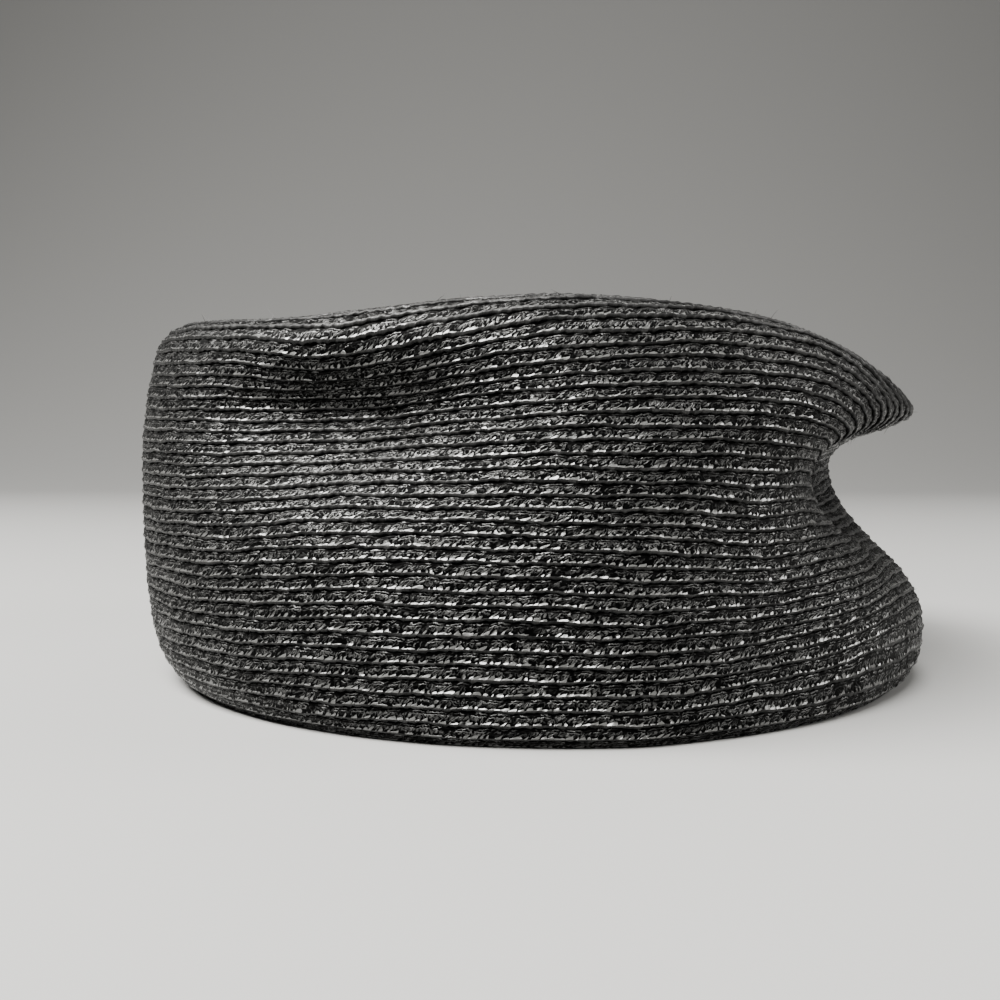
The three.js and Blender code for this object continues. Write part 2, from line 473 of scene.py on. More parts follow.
# %% Faces and meshes
WELD = 0.01  # points nearer than this are one point
# The order of a face's corners, as steps along the grid and across it.
FACING_OUT = [(0, 0), (1, 0), (1, 1), (0, 1)]
FACING_IN = [(0, 0), (0, 1), (1, 1), (1, 0)]


def face_corners(long, wide, order):
    """For each face of a grid, how far along it and across it the four corners lie."""
    along, across = np.meshgrid(np.arange(long), np.arange(wide), indexing="ij")
    along = np.stack([along + step for step, _ in order], axis=-1)
    across = np.stack([across + step for _, step in order], axis=-1)
    return along.reshape(-1, 4), across.reshape(-1, 4)


def strip_faces(columns, per_turn):
    """Corner numbers of a grid whose last point across is the first one a turn later."""
    column, point = face_corners(columns - 1, POINTS, FACING_OUT)
    later = column + per_turn
    tail = columns * POINTS + later - columns  # creases past the last column come at the end
    crease = np.where(later < columns, later * POINTS, tail)
    return np.where(point == POINTS, crease, column * POINTS + point), column, point


def ring_faces(sides, rings, order):
    """Corner numbers of a grid closed round its sides, and each corner's side and ring."""
    side, ring = face_corners(sides, rings - 1, order)
    return (side % sides) * rings + ring, side, ring


def make_mesh(name, points, faces, maps):
    """A smooth mesh from arrays: points in mm, quads, and a dict of UV maps per corner."""
    mesh = bpy.data.meshes.new(name)
    mesh.vertices.add(len(points))
    mesh.vertices.foreach_set("co", (points * MM).astype(np.float32).ravel())
    mesh.loops.add(faces.size)
    mesh.loops.foreach_set("vertex_index", faces.astype(np.int32).ravel())
    mesh.polygons.add(len(faces))
    starts = np.arange(len(faces), dtype=np.int32) * faces.shape[1]
    mesh.polygons.foreach_set("loop_start", starts)
    mesh.polygons.foreach_set("use_smooth", np.ones(len(faces), dtype=bool))
    for map_name, corners in maps.items():
        layer = mesh.uv_layers.new(name=map_name)
        layer.data.foreach_set("uv", corners.astype(np.float32).ravel())
    mesh.update()
    mesh.validate()
    piece = bpy.data.objects.new(name, mesh)
    bpy.context.scene.collection.objects.link(piece)
    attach(piece, "root")
    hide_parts("crown")
    print(name, "has", len(faces) * (faces.shape[1] - 2), "triangles")
    return piece


def weld_pole(piece):
    """Makes the ring of points that meet at the middle one point, so the faces there close."""
    shape = bmesh.new()
    shape.from_mesh(piece.data)
    before = len(shape.verts)
    bmesh.ops.remove_doubles(shape, verts=shape.verts, dist=WELD * MM)
    print(piece.name, "welded", before - len(shape.verts), "points")
    shape.to_mesh(piece.data)
    shape.free()


print("points are welded within", WELD, "mm")

# %% [markdown]
# ## The wall and the top
#
# Each run becomes one piece, with random numbers of its own and two maps. The first counts plaits
# along the braid and rows across it, so that a pattern drawn on it follows the straw. The second
# lays the run out flat in bands, without overlaps, for anyone who wants to bake its look into an
# image.

# %% Pieces of the spiral
BRAID_SEED = 100  # for the first run, and each run uses two
CHART_CUTS = 4  # the strip is cut so many times a turn where it is laid flat
CHART_END = 0.004  # margin at either end of a band, as a share of the chart
CHART_SIDE = 0.06  # margin on either side of a band, as a share of the band
MAP_LOW = -0.1  # the pattern map reaches from here across the row...
MAP_SPAN = 1.3  # ...to so much further, past the next row's edge
ROUNDING = 1e-6  # keeps a whole turn number from being rounded down


def braid_piece(run, seed):
    """The strip from a run's first turn to its last, with its pattern map and its flat chart."""
    per_turn = run.plaits * PER_PLAIT
    start = int(np.ceil(run.first * per_turn))
    turn = np.arange(start, run.last * per_turn + 1) / per_turn
    columns = len(turn)
    main = braid_points(turn, run.plaits, seed)
    tail = braid_points(turn[-per_turn:] + 1.0, run.plaits, seed + 1)[:, 0]
    points = np.concatenate([main.reshape(-1, 3), tail])
    faces, column, point = strip_faces(columns, per_turn)
    cut = per_turn // CHART_CUTS + 1
    bands = int(np.ceil((columns - 1) / cut))
    band = column[:, :1] // cut
    across = np.append(SPOTS["across"], NEXT_CREASE)
    reach = np.arange(POINTS + 1) / POINTS
    row = np.floor(turn[column[:, :1]] + ROUNDING)
    place = plait_place(turn, run.plaits)
    pattern = np.stack([place[column], row + (across[point] - MAP_LOW) / MAP_SPAN], axis=-1)
    flat = np.stack([
        CHART_END + (1.0 - 2.0 * CHART_END) * (column - band * cut) / cut,
        (band + CHART_SIDE + (1.0 - 2.0 * CHART_SIDE) * reach[point]) / bands,
    ], axis=-1)
    return make_mesh(run.name, points, faces, {"Plait": pattern, "OFBake": flat})


braid = [braid_piece(run, BRAID_SEED + 2 * count) for count, run in enumerate(RUNS)]
print("pieces of braid:", len(braid))

# %% [markdown]
# ## The inside
#
# Seen from below, the hat is unlined and shows the wrong side of the same rows. It is mostly
# dark, so one coarser skin, with a step where each row laps the next, is enough. It starts
# where the rim's edge turns under, so that the wall is closed there.

# %% Inside skin
INSIDE_COLUMNS = 240
INSIDE_PLAITS = 142  # to a turn
INSIDE_MARGIN = 0.002  # of its flat chart
# across: place across the row. height: in millimetres, from the outer face.
InsideStep = namedtuple("InsideStep", "across height")
INSIDE_STEPS = [InsideStep(0.0, -1.55), InsideStep(0.10, -2.05), InsideStep(0.55, -1.85)]


def inside_skin():
    """A grid of rows by azimuths, set in from the outer face by the steps of the table."""
    azimuth = np.linspace(-180.0, 180.0, INSIDE_COLUMNS + 1)[:-1]
    across = [step.across for step in INSIDE_STEPS]
    row = np.append((np.arange(ROWS)[:, None] + across).ravel()[:-1], ROWS)
    height = np.tile([step.height for step in INSIDE_STEPS], ROWS)
    height[0] = -RIM_DEPTH
    height[-1] = INSIDE_STEPS[-1].height
    rings = len(row)
    az, up = np.meshgrid(azimuth, row, indexing="ij")
    deep = np.broadcast_to(height, az.shape)
    points = surface_point(az, row_fraction(az, up), deep).reshape(-1, 3)
    faces, side, ring = ring_faces(INSIDE_COLUMNS, rings, FACING_IN)
    pattern = np.stack([side * INSIDE_PLAITS / INSIDE_COLUMNS, row[ring]], axis=-1)
    flat = np.stack([
        INSIDE_MARGIN + (1.0 - 2.0 * INSIDE_MARGIN) * side / INSIDE_COLUMNS,
        INSIDE_MARGIN + (1.0 - 2.0 * INSIDE_MARGIN) * ring / (rings - 1),
    ], axis=-1)
    return make_mesh("inside", points, faces, {"Plait": pattern, "OFBake": flat})


inside = inside_skin()
weld_pole(inside)

# %% [markdown]
# ## The start of the coil
#
# The braid begins as a tight little coil at the middle of the top. Its first turn is too small
# to plait neatly, so it reads as a low knot of straw.

# %% Button
BUTTON_RADIUS = 3.4
BUTTON_PLAITS = 6  # round it
BUTTON_SIDES = 72
BUTTON_RINGS = 15
BUTTON_RISE = 0.75  # the dome
BUTTON_TUCK = 0.35  # how far its edge dips below the top
GROOVE_DEPTH = 0.16
GROOVE_TURNS = 1.6


def button():
    """A dome whose height is a cosine of its radius, with a spiral groove round it."""
    turns = np.linspace(0.0, 2 * np.pi, BUTTON_SIDES + 1)[:-1]
    share = np.linspace(1.0, 0.0, BUTTON_RINGS)
    angle, out = np.meshgrid(turns, share, indexing="ij")
    groove = np.cos(2 * np.pi * (GROOVE_TURNS * out - angle / (2 * np.pi)))
    height = BUTTON_RISE * np.cos(out * np.pi / 2) - BUTTON_TUCK * out**4
    height = height + GROOVE_DEPTH * groove * out * (1 - out)
    centre = folded_point(np.array(0.0), np.array(ARC_TOTAL)) - SHIFT
    x = centre[0] + BUTTON_RADIUS * out * np.cos(angle)
    y = centre[1] + BUTTON_RADIUS * out * np.sin(angle)
    points = np.stack([x, y, centre[2] + height], axis=-1).reshape(-1, 3)
    faces, side, ring = ring_faces(BUTTON_SIDES, BUTTON_RINGS, FACING_OUT)
    pattern = np.stack([side * BUTTON_PLAITS / BUTTON_SIDES, ring / (BUTTON_RINGS - 1)], axis=-1)
    return make_mesh("coil_start", points, faces, {"Plait": pattern})


coil_start = button()
weld_pole(coil_start)

# %% [markdown]
# ## Loose ends
#
# Straw frays. Here and there a split fibre no thicker than a hair stands off the braid, mostly
# over the crown edge, where the hat is handled. Each is a thin tapering tube, bent along a
# parabola. All of them are worked out at once, as one array with a row for each fibre.

# %% Stray fibres
FIBRES = 150
FIBRE_SEED = 11
FIBRE_RINGS = 6
FIBRE_SIDES = 4
FIBRE_RADIUS = 0.06  # millimetres at the root
FIBRE_TAPER = 0.99  # 1 would end in a point
FIBRE_ROOT_DEPTH = 0.4  # how deep the root sits in the braid
FIBRE_LENGTHS = (1.0, 3.2)
FIBRE_STEP = 0.5  # degrees between the points that give the direction along the braid
LEAN_ALONG = 1.6  # slopes at which a fibre leaves the wall, at most
LEAN_ASIDE = 0.6
BEND_ALONG = 0.7  # slopes by which it bends on its way, at most
BEND_ASIDE = (-0.5, 0.3)
TUBE_HINT = 0.31  # tilts the tube's own axes away from the fibre, so that they never line up
FRAYED_SHARE = 0.7  # this share of the fibres gathers round the crown edge...
FRAYED_AT = 0.47  # ...at this share of the way up...
FRAYED_SPREAD = 0.09  # ...and so far to either side


def fibre_lines(rng):
    """Centre lines: root + length * (share * leaving direction + share^2 * bend)."""
    azimuth = rng.uniform(-180.0, 180.0, FIBRES)
    near_edge = FRAYED_AT + FRAYED_SPREAD * rng.standard_normal(FIBRES)
    frayed = rng.random(FIBRES) < FRAYED_SHARE
    fraction = np.where(frayed, near_edge, rng.uniform(0.03, 0.97, FIBRES))
    fraction = np.clip(fraction, 0.02, 0.98)
    depth = np.full(FIBRES, -FIBRE_ROOT_DEPTH)
    root = surface_point(azimuth, fraction, depth)
    out = surface_point(azimuth, fraction, depth + 1.0) - root
    along = unit(surface_point(azimuth + FIBRE_STEP, fraction, depth) - root)
    side = np.cross(out, along)
    leaving = out + rng.uniform(-LEAN_ALONG, LEAN_ALONG, (FIBRES, 1)) * along
    leaving = unit(leaving + rng.uniform(-LEAN_ASIDE, LEAN_ASIDE, (FIBRES, 1)) * side)
    bend = rng.uniform(-BEND_ALONG, BEND_ALONG, (FIBRES, 1)) * along
    bend = bend + rng.uniform(*BEND_ASIDE, (FIBRES, 1)) * side
    length = rng.uniform(*FIBRE_LENGTHS, (FIBRES, 1, 1))
    share = np.linspace(0.0, 1.0, FIBRE_RINGS)[None, :, None]
    line = share * leaving[:, None, :] + share**2 * bend[:, None, :]
    return root[:, None, :] + length * line, out, along


def stray_fibres():
    """Tubes round the centre lines: radius * sqrt(1 - taper * share), closed at both ends."""
    rng = np.random.default_rng(FIBRE_SEED)
    line, out, along = fibre_lines(rng)
    step = unit(np.gradient(line, axis=1))
    first = unit(np.cross(step, np.cross(out, along)[:, None, :] + TUBE_HINT))
    second = np.cross(step, first)
    angle = 2 * np.pi * np.arange(FIBRE_SIDES) / FIBRE_SIDES
    radius = FIBRE_RADIUS * np.sqrt(1.0 - np.linspace(0.0, FIBRE_TAPER, FIBRE_RINGS))
    ring = (np.cos(angle)[:, None] * first[:, :, None, :]
            + np.sin(angle)[:, None] * second[:, :, None, :])
    points = line[:, :, None, :] + radius[None, :, None, None] * ring
    per_fibre = FIBRE_RINGS * FIBRE_SIDES
    side, level = face_corners(FIBRE_SIDES, FIBRE_RINGS - 1, FACING_OUT)
    quad = level * FIBRE_SIDES + side % FIBRE_SIDES
    start_cap = np.arange(FIBRE_SIDES)[::-1]
    end_cap = per_fibre - FIBRE_SIDES + np.arange(FIBRE_SIDES)
    quad = np.concatenate([quad, [start_cap], [end_cap]])
    faces = (quad[None] + per_fibre * np.arange(FIBRES)[:, None, None]).reshape(-1, 4)
    return make_mesh("stray_fibres", points.reshape(-1, 3), faces, {})


fibres = stray_fibres()

# %% [markdown]
# ## Straw
#
# The straw is glossy and nearly black. What the eye sees is its plait: a smooth selvedge, a line
# of looped dashes, slanting strokes and flat lobes, each a small bright ridge over a dark hole.
# Meshing every strand would take tens of millions of faces, so the ridges finer than the strip's
# own grid are drawn by arithmetic on its pattern map and used as a bump. An image of straw could
# be wrapped round instead, but it would repeat, and would not follow the braid. The arithmetic
# is a tree of nodes, so a few helpers come first, each adding the nodes of one small formula.

# %% Node helpers
def calc(tree, operation, *values):
    """Adds a Math node to a node tree, linked to or set to the given values."""
    node = tree.nodes.new("ShaderNodeMath")
    node.operation = operation
    for socket, value in zip(node.inputs, values):
        if isinstance(value, (int, float)):
            socket.default_value = value
        else:
            tree.links.new(value, socket)
    return node.outputs[0]


def product(tree, *values):
    """All the values multiplied together."""
    return reduce(partial(calc, tree, "MULTIPLY"), values)


def highest(tree, *values):
    """The largest of the values."""
    return reduce(partial(calc, tree, "MAXIMUM"), values)


def ramp(tree, value, low, high):
    """0 below low, 1 above high and a smooth step between. High below low turns it round."""
    node = tree.nodes.new("ShaderNodeMapRange")
    node.interpolation_type = "SMOOTHSTEP"
    tree.links.new(value, node.inputs["Value"])
    if high < low:
        node.inputs["To Min"].default_value = 1.0
        node.inputs["To Max"].default_value = 0.0
        low, high = high, low
    node.inputs["From Min"].default_value = low
    node.inputs["From Max"].default_value = high
    return node.outputs["Result"]


def ridge(tree, value, centre, half_width):
    """A round ridge: sqrt(1 - ((value - centre) / half width)^2), and 0 outside it."""
    away = calc(tree, "DIVIDE", calc(tree, "SUBTRACT", value, centre), half_width)
    left = calc(tree, "SUBTRACT", 1.0, calc(tree, "MULTIPLY", away, away))
    return calc(tree, "SQRT", highest(tree, left, 0.0))


def chance(tree, cell, row, least, draw=0.0):
    """A random strength from least to 1 for each numbered cell of each row, anew for each draw."""
    if draw:
        cell = calc(tree, "ADD", cell, draw)
    joined = tree.nodes.new("ShaderNodeCombineXYZ")
    tree.links.new(cell, joined.inputs["X"])
    tree.links.new(row, joined.inputs["Y"])
    noise = tree.nodes.new("ShaderNodeTexWhiteNoise")
    noise.noise_dimensions = "2D"
    tree.links.new(joined.outputs["Vector"], noise.inputs["Vector"])
    return calc(tree, "MULTIPLY_ADD", noise.outputs["Value"], 1.0 - least, least)


def warp(tree, vector, scale):
    """Smooth noise on the map, as two numbers from -0.5 to 0.5."""
    noise = tree.nodes.new("ShaderNodeTexNoise")
    noise.inputs["Scale"].default_value = scale
    noise.inputs["Detail"].default_value = 0.0
    tree.links.new(vector, noise.inputs["Vector"])
    split = tree.nodes.new("ShaderNodeSeparateXYZ")
    tree.links.new(noise.outputs["Color"], split.inputs[0])
    return [calc(tree, "SUBTRACT", split.outputs[axis], 0.5) for axis in "XY"]


trial = bpy.data.node_groups.new("trial", "ShaderNodeTree")
ridge(trial, 0.0, 0.5, 0.5)
print("one ridge takes", len(trial.nodes), "nodes")
bpy.data.node_groups.remove(trial)

# %% [markdown]
# ## The looped edge
#
# Above the selvedge the outermost straw shows as a line of bright loops. Each is level below and
# rises to a point at its right end, like a leaning tooth. No two are alike, so chance sets each
# one's height, length, brightness, lean and steepness. Their brightness is partly a painted
# highlight: the mask of the loops also gives them a paler tone.

# %% Looped edge
LOOPS = 3.0  # to a plait
LOOP_POINT = 0.66  # place of the point, as a share of the loop's length
LOOP_FOOT = (0.15, 0.18)  # the loops begin between these places across the row...
LOOP_LOW = 0.25  # ...the lowest end here...
LOOP_TALL = 0.26  # ...and the tallest so much further
LOOP_SOFT = 0.035
LOOP_LEAN = 3.0  # slope along the row, at most
LOOP_STEEP = -11.0  # slope across it, at most
LOOP_CREST = 0.2  # place across the row where the slope crosses...
LOOP_HEIGHT = 0.9  # ...this height


def looped_edge(tree, along, across, row):
    """A mask of the loops, and mask * (lean * way along + steepness * way across + height)."""
    count = calc(tree, "MULTIPLY", along, LOOPS)
    cell = calc(tree, "FLOOR", count)
    share = calc(tree, "FRACT", count)
    rising = calc(tree, "DIVIDE", share, LOOP_POINT)
    falling = calc(tree, "DIVIDE", calc(tree, "SUBTRACT", 1.0, share), 1.0 - LOOP_POINT)
    tooth = calc(tree, "MINIMUM", rising, falling)
    tall = product(tree, tooth, chance(tree, cell, row, 0.15), LOOP_TALL)
    below_top = calc(tree, "SUBTRACT", calc(tree, "ADD", tall, LOOP_LOW), across)
    gap = calc(tree, "SUBTRACT", share, chance(tree, cell, row, -0.15, 71.0))
    ends = product(tree, ramp(tree, gap, -0.25, 0.0), ramp(tree, share, 1.0, 0.93))
    over = ramp(tree, below_top, 0.0, LOOP_SOFT)
    under = ramp(tree, across, *LOOP_FOOT)
    # This mask also says where the loops get a painted highlight tone.
    mask = product(tree, over, under, ends, chance(tree, cell, row, 0.7, 37.0))
    lean = calc(tree, "SUBTRACT", chance(tree, cell, row, 0.0, 13.0), 0.5)
    sideways = product(tree, lean, calc(tree, "SUBTRACT", share, 0.5), LOOP_LEAN)
    steep = calc(tree, "MULTIPLY", chance(tree, cell, row, 0.2, 29.0), LOOP_STEEP)
    from_crest = calc(tree, "SUBTRACT", across, LOOP_CREST)
    upwards = calc(tree, "MULTIPLY_ADD", from_crest, steep, LOOP_HEIGHT)
    return mask, product(tree, mask, calc(tree, "ADD", sideways, upwards))


print("a turn low on the wall has", int(LOOPS * RUNS[0].plaits), "loops")

# %% [markdown]
# ## The strands
#
# Further up the row, strands slant to the upper right, others come back behind them, and flat
# arches show where a bundle of straw runs along before it turns. The selvedge below the loops is
# a smooth round edge, mostly turned away from the eye.

# %% Strands
STROKE_HALF = 0.34  # half the width of a strand, as a share of its place
STROKE_SPAN = 0.17  # half its length, in rows...
STROKE_LOW = 0.38  # ...about a middle from here...
STROKE_RANGE = 0.36  # ...to so much further up
STROKE_HEIGHT = 0.9
BACK_SLANT = 3.2  # places passed on the way across the row
BACK_HALF = 0.2
BACK_HEIGHT = 0.6
# foot: place across the row where an arch begins. rise: four times its climb. half: of its width.
Lobe = namedtuple("Lobe", "foot rise half")
LOBES = [Lobe(0.76, 0.36, 0.048), Lobe(0.60, 0.26, 0.042)]
LOBE_PIECES = 3.3  # to a plait, each as strong as chance makes it
LOBE_SHIFT = 0.31  # between the pieces of one arch and the next
LOBE_HEIGHT = 0.85
BAND_PIECES = 2.3
BAND_BEADS = (0.3, 0.7)  # how much of the selvedge is beads, and how much is level
BAND_HEIGHT = 0.48


def strokes(tree, place, across, row, window):
    """Strands up the slant of the mesh's columns: ridges along and across, times chance."""
    cell = calc(tree, "FLOOR", place)
    strand = ridge(tree, calc(tree, "FRACT", place), 0.5, STROKE_HALF)
    draw = chance(tree, cell, row, 0.0, 53.0)
    middle = calc(tree, "MULTIPLY_ADD", draw, STROKE_RANGE, STROKE_LOW)
    span = ridge(tree, across, middle, STROKE_SPAN)
    return product(tree, strand, *window, span, chance(tree, cell, row, 0.0), STROKE_HEIGHT)


def back_strands(tree, place, across, row, window):
    """The same strands on their way back: place + slant * across, mostly hidden."""
    place = calc(tree, "MULTIPLY_ADD", across, BACK_SLANT, place)
    strand = ridge(tree, calc(tree, "FRACT", place), 0.5, BACK_HALF)
    draw = chance(tree, calc(tree, "FLOOR", place), row, 0.0)
    return product(tree, strand, *window, draw, BACK_HEIGHT)


def lobes(tree, along, across, row):
    """Thin ridges along flat arches one plait long: foot + rise * share * (1 - share)."""
    share = calc(tree, "FRACT", along)
    arch = calc(tree, "MULTIPLY", share, calc(tree, "SUBTRACT", 1.0, share))
    height = 0.0
    for count, lobe in enumerate(LOBES):
        middle = calc(tree, "MULTIPLY_ADD", arch, lobe.rise, lobe.foot)
        strand = ridge(tree, across, middle, lobe.half)
        pieces = calc(tree, "MULTIPLY_ADD", along, LOBE_PIECES, LOBE_SHIFT * count)
        draw = chance(tree, calc(tree, "FLOOR", pieces), row, 0.0)
        height = highest(tree, height, product(tree, strand, draw))
    start = ramp(tree, share, 0.0, 0.12)
    return product(tree, height, start, ramp(tree, share, 0.98, 0.80), LOBE_HEIGHT)


def selvedge(tree, along, place, edge, row):
    """A band below the loops, with a low bead for every strand."""
    piece = calc(tree, "FLOOR", calc(tree, "MULTIPLY", along, BAND_PIECES))
    bead = ridge(tree, calc(tree, "FRACT", place), 0.5, 0.5)
    bead = calc(tree, "MULTIPLY_ADD", bead, *BAND_BEADS)
    below = ramp(tree, edge, 0.21, 0.17)
    return product(tree, below, chance(tree, piece, row, 0.6), bead, BAND_HEIGHT)


print("arches in a row:", len(LOBES))

# %% [markdown]
# ## The whole plait
#
# The parts lie over one another, and the highest shows. Nobody plaits quite evenly, so smooth
# noise bends the map first. The group puts out the height of the straw, a mask of the straw
# against the holes between its strands and the row's end behind the next row, where the material
# paints shade, and a mask of the loops and strands, where it paints a highlight.

# %% Plait pattern
DRAWN_STROKES = 6.0  # strands to a plait
SLOW_SCALE = 1.1  # of the noise. It moves places along the braid, in plaits...
SLOW_ALONG = 0.6
QUICK_SCALE = 4.3
QUICK_ALONG = 0.25
QUICK_ACROSS = 0.15  # ...and across it, in rows
QUICK_EDGE = 0.05
FINE_SCALE = 11.0
FINE_ACROSS = 0.16
FINE_STRANDS = 0.7  # and moves the strands along, in their own widths
STRAND_FROM = (0.28, 0.38)  # strands come out between these places across the row...
STRAND_TO = (0.78, 0.58)  # ...and go under between these
STRAND_GLINT = 0.45  # strength of a strand's painted highlight, against a loop's
STRAW_FROM = (0.05, 0.88)  # heights between which a hole's painted shade gives way to straw
ROW_END_SHADE = (1.08, 0.98)  # places across the row over which painted shade darkens it behind the next


def plait_group():
    """Node group from the pattern map to the height of the straw and two masks."""
    tree = bpy.data.node_groups.new("plait", "ShaderNodeTree")
    tree.interface.new_socket("Map", in_out="INPUT", socket_type="NodeSocketVector")
    for name in ["Height", "Straw", "PaintedGlint"]:
        tree.interface.new_socket(name, in_out="OUTPUT", socket_type="NodeSocketFloat")
    entry = tree.nodes.new("NodeGroupInput")
    leave = tree.nodes.new("NodeGroupOutput")
    split = tree.nodes.new("ShaderNodeSeparateXYZ")
    tree.links.new(entry.outputs["Map"], split.inputs[0])
    row = calc(tree, "FLOOR", split.outputs["Y"])
    level = calc(tree, "FRACT", split.outputs["Y"])
    level = calc(tree, "MULTIPLY_ADD", level, MAP_SPAN, MAP_LOW)
    slow, _ = warp(tree, entry.outputs["Map"], SLOW_SCALE)
    quick, quick_across = warp(tree, entry.outputs["Map"], QUICK_SCALE)
    fine, fine_across = warp(tree, entry.outputs["Map"], FINE_SCALE)
    edge = calc(tree, "MULTIPLY_ADD", quick_across, QUICK_EDGE, level)
    across = calc(tree, "MULTIPLY_ADD", quick_across, QUICK_ACROSS, level)
    across = calc(tree, "MULTIPLY_ADD", fine_across, FINE_ACROSS, across)
    along = calc(tree, "MULTIPLY_ADD", slow, SLOW_ALONG, split.outputs["X"])
    along = calc(tree, "MULTIPLY_ADD", quick, QUICK_ALONG, along)
    place = calc(tree, "MULTIPLY", along, DRAWN_STROKES)
    place = calc(tree, "MULTIPLY_ADD", fine, FINE_STRANDS, place)
    window = [ramp(tree, across, *STRAND_FROM), ramp(tree, across, *STRAND_TO)]
    loop, loop_height = looped_edge(tree, along, edge, row)
    stroke = strokes(tree, place, across, row, window)
    back = back_strands(tree, place, across, row, window)
    lobe = lobes(tree, along, across, row)
    upper = highest(tree, stroke, back, lobe, selvedge(tree, along, place, edge, row))
    tree.links.new(highest(tree, upper, loop_height), leave.inputs["Height"])
    straw = ramp(tree, highest(tree, upper, loop), *STRAW_FROM)
    # Painted shade: the straw goes dark where the row runs behind the next row's edge.
    straw = product(tree, straw, ramp(tree, across, *ROW_END_SHADE))
    tree.links.new(straw, leave.inputs["Straw"])
    # Painted highlight: the loops and, more weakly, the strands take a paler tone.
    strand_glint = product(tree, highest(tree, stroke, lobe), STRAND_GLINT)
    tree.links.new(highest(tree, loop, strand_glint), leave.inputs["PaintedGlint"])
    return tree


PLAIT = plait_group()
print("the plait pattern takes", len(PLAIT.nodes), "nodes")

# %% [markdown]
# ## Two kinds of straw
#
# Straw on the braid takes its tone, gloss and bump from the pattern. The holes between its strands
# are painted shade: black and metallic, and a metal reflects only its own colour, so a black one
# sends nothing back, neither soft light nor gloss, just as a deep hole would. The loops and strands
# get a paler tone, a painted highlight. Loose fibres are too thin to carry a pattern.

# %% Straw materials
# painted shade: the tone of the holes between strands and of each row's end behind the next
HOLE_SHADE_TONE = (0.0015, 0.0015, 0.0015, 1.0)
STRAW_TONE = (0.007, 0.007, 0.0068, 1.0)
# painted highlight: the paler tone of the loops and strands
GLINT_TONE = (0.058, 0.058, 0.056, 1.0)
FIBRE_TONE = (0.03, 0.03, 0.029, 1.0)
STRAW_ROUGHNESS = 0.28
HOLE_ROUGHNESS = 0.35  # more than the straw's
FIBRE_ROUGHNESS = 0.35
BUMP_DISTANCE = 0.0002  # metres


def plain_material(name, tone, roughness):
    """A material of one tone and one roughness."""
    material = bpy.data.materials.new(name)
    material.use_nodes = True
    shader = material.node_tree.nodes["Principled BSDF"]
    shader.inputs["Base Color"].default_value = tone
    shader.inputs["Roughness"].default_value = roughness
    return material


def straw_material():
    """Glossy black straw: ridges bright with painted glints, holes black and dull with painted
    shade.
    """
    material = plain_material("straw_braid", STRAW_TONE, STRAW_ROUGHNESS)
    tree = material.node_tree
    shader = tree.nodes["Principled BSDF"]
    shader.inputs["Specular IOR Level"].default_value = 1.0
    pattern = tree.nodes.new("ShaderNodeUVMap")
    pattern.uv_map = "Plait"
    plait = tree.nodes.new("ShaderNodeGroup")
    plait.node_tree = PLAIT
    tree.links.new(pattern.outputs["UV"], plait.inputs["Map"])
    tone = None
    # Painted shade in the holes, then a painted highlight on the loops and strands.
    for mask, colour in [("Straw", STRAW_TONE), ("PaintedGlint", GLINT_TONE)]:
        mix = tree.nodes.new("ShaderNodeMix")
        mix.data_type = "RGBA"
        mix.inputs["A"].default_value = HOLE_SHADE_TONE
        mix.inputs["B"].default_value = colour
        tree.links.new(plait.outputs[mask], mix.inputs["Factor"])
        if tone is not None:
            tree.links.new(tone, mix.inputs["A"])
        tone = mix.outputs["Result"]
    tree.links.new(tone, shader.inputs["Base Color"])
    # The holes' painted shade: black metal, which sends back no light, and rougher than the straw.
    hole_shade = calc(tree, "SUBTRACT", 1.0, plait.outputs["Straw"])
    tree.links.new(hole_shade, shader.inputs["Metallic"])
    dull = calc(tree, "MULTIPLY_ADD", hole_shade, HOLE_ROUGHNESS, STRAW_ROUGHNESS)
    tree.links.new(dull, shader.inputs["Roughness"])
    bump = tree.nodes.new("ShaderNodeBump")
    bump.inputs["Strength"].default_value = 1.0
    bump.inputs["Distance"].default_value = BUMP_DISTANCE
    tree.links.new(plait.outputs["Height"], bump.inputs["Height"])
    tree.links.new(bump.outputs["Normal"], shader.inputs["Normal"])
    return material


straw = straw_material()
for piece in [*braid, inside, coil_start]:
    piece.data.materials.append(straw)
fibre_straw = plain_material("straw_fibre", FIBRE_TONE, FIBRE_ROUGHNESS)
fibres.data.materials.append(fibre_straw)
print("materials:", straw.name, "and", fibre_straw.name)

# %% [markdown]
# ## Floor
#
# In a studio, small things stand on a sheet of paper that curves up behind them, so that no line
# shows where the floor ends. The sheet here is a profile carried from side to side: level, then
# a quarter circle, then upright. A plane and a wall would need their join hidden.

# %% Sweep of paper
SWEEP_HALF_WIDTH = 5.0  # metres, as are all lengths of the stage
SWEEP_FRONT = -4.0
SWEEP_BEND_FROM = 1.0
SWEEP_BEND_RADIUS = 1.2
SWEEP_BEND_STEPS = 48
SWEEP_TOP = 3.0
SWEEP_TONE = (0.22, 0.22, 0.216, 1.0)
SWEEP_ROUGHNESS = 0.9


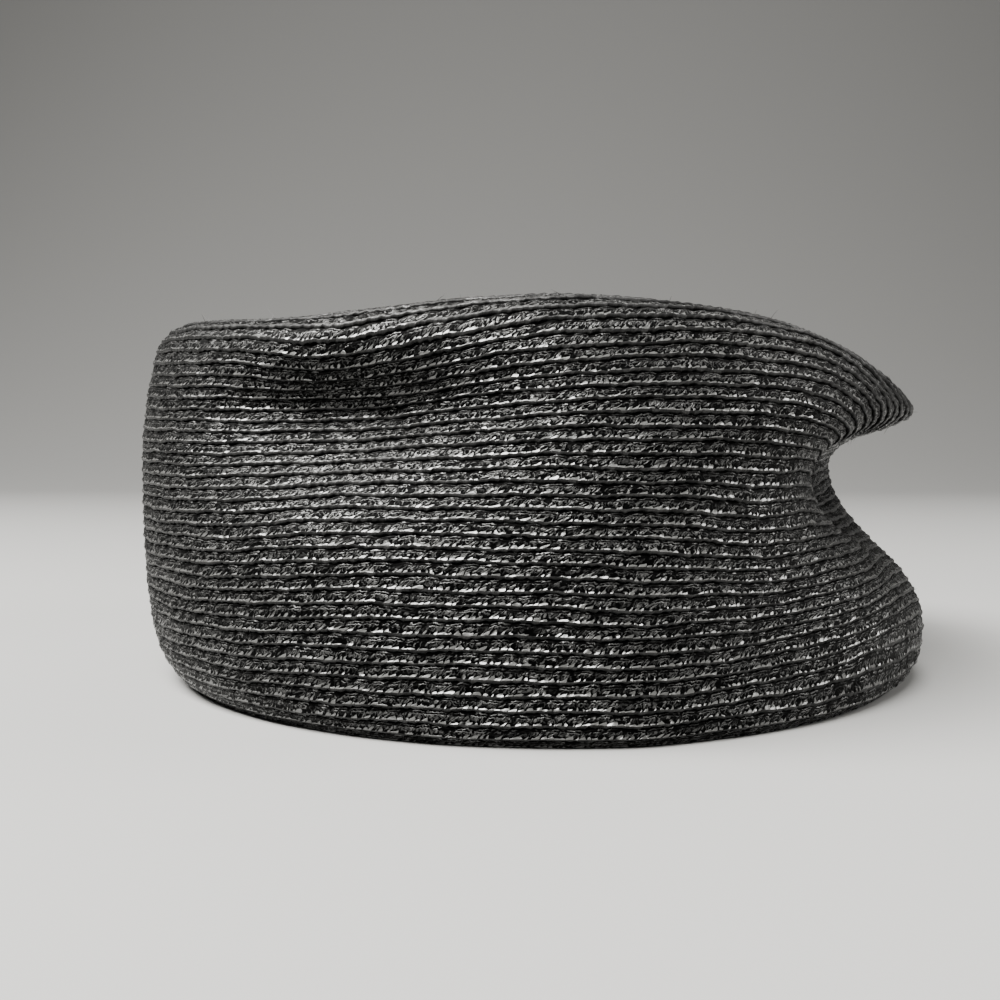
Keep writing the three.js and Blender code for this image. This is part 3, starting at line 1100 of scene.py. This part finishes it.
def paper_sweep():
    """Level, a quarter circle, upright: each point of the profile twice, left and right."""
    angle = np.linspace(0.0, np.pi / 2, SWEEP_BEND_STEPS + 1)
    bend_y = SWEEP_BEND_FROM + SWEEP_BEND_RADIUS * np.sin(angle)
    bend_z = SWEEP_BEND_RADIUS * (1.0 - np.cos(angle))
    y = np.concatenate([[SWEEP_FRONT], bend_y, bend_y[-1:]])
    z = np.concatenate([[0.0], bend_z, [SWEEP_TOP]])
    left = np.stack([np.full_like(y, -SWEEP_HALF_WIDTH), y, z], axis=-1)
    right = left * [-1.0, 1.0, 1.0]
    points = np.stack([left, right], axis=1).reshape(-1, 3)
    step = 2 * np.arange(len(y) - 1)[:, None]
    mesh = bpy.data.meshes.new("floor")
    mesh.from_pydata(points.tolist(), [], (step + [0, 1, 3, 2]).tolist())
    mesh.polygons.foreach_set("use_smooth", np.ones(len(step), dtype=bool))
    floor = bpy.data.objects.new("floor", mesh)
    bpy.context.scene.collection.objects.link(floor)
    mesh.materials.append(plain_material("pale_paper", SWEEP_TONE, SWEEP_ROUGHNESS))
    print("sweep of paper:", len(step), "strips")


paper_sweep()

# %% [markdown]
# ## Light
#
# One large soft lamp stands high on the left, so that each row's loops glint and the shade gathers
# in the folds and under the beak. A weak lamp on the right opens that shade a little, another
# behind draws the far edge, and a dim even sky fills the rest.

# %% Lamps and sky
# place, wide, high: in metres. power: in watts.
Lamp = namedtuple("Lamp", "name place wide high power")
LAMPS = [
    Lamp("key", (-0.47, -0.46, 1.02), 1.5, 0.5, 122.0),
    Lamp("fill", (1.1, 0.0, 0.62), 0.5, 0.5, 13.0),
    Lamp("back", (0.2, 0.6, 1.0), 0.6, 0.6, 3.0),
]
LAMP_AIM = (0.0, 0.0, 0.05)  # the middle of the hat
LAMP_COLOUR = (1.0, 0.985, 0.955)
SKY_COLOUR = (1.0, 0.98, 0.93, 1.0)
SKY_STRENGTH = 0.08

for lamp in LAMPS:
    light = bpy.data.lights.new(lamp.name, "AREA")
    light.shape = "RECTANGLE"
    light.size = lamp.wide
    light.size_y = lamp.high
    light.energy = lamp.power
    light.color = LAMP_COLOUR
    stand = bpy.data.objects.new(lamp.name, light)
    stand.location = lamp.place
    towards = Vector(LAMP_AIM) - Vector(lamp.place)
    stand.rotation_euler = towards.to_track_quat("-Z", "Y").to_euler()
    bpy.context.scene.collection.objects.link(stand)

sky = bpy.data.worlds.new("studio")
bpy.context.scene.world = sky
sky.use_nodes = True
backdrop = sky.node_tree.nodes["Background"]
backdrop.inputs["Color"].default_value = SKY_COLOUR
backdrop.inputs["Strength"].default_value = SKY_STRENGTH
print("lamps:", len(LAMPS))
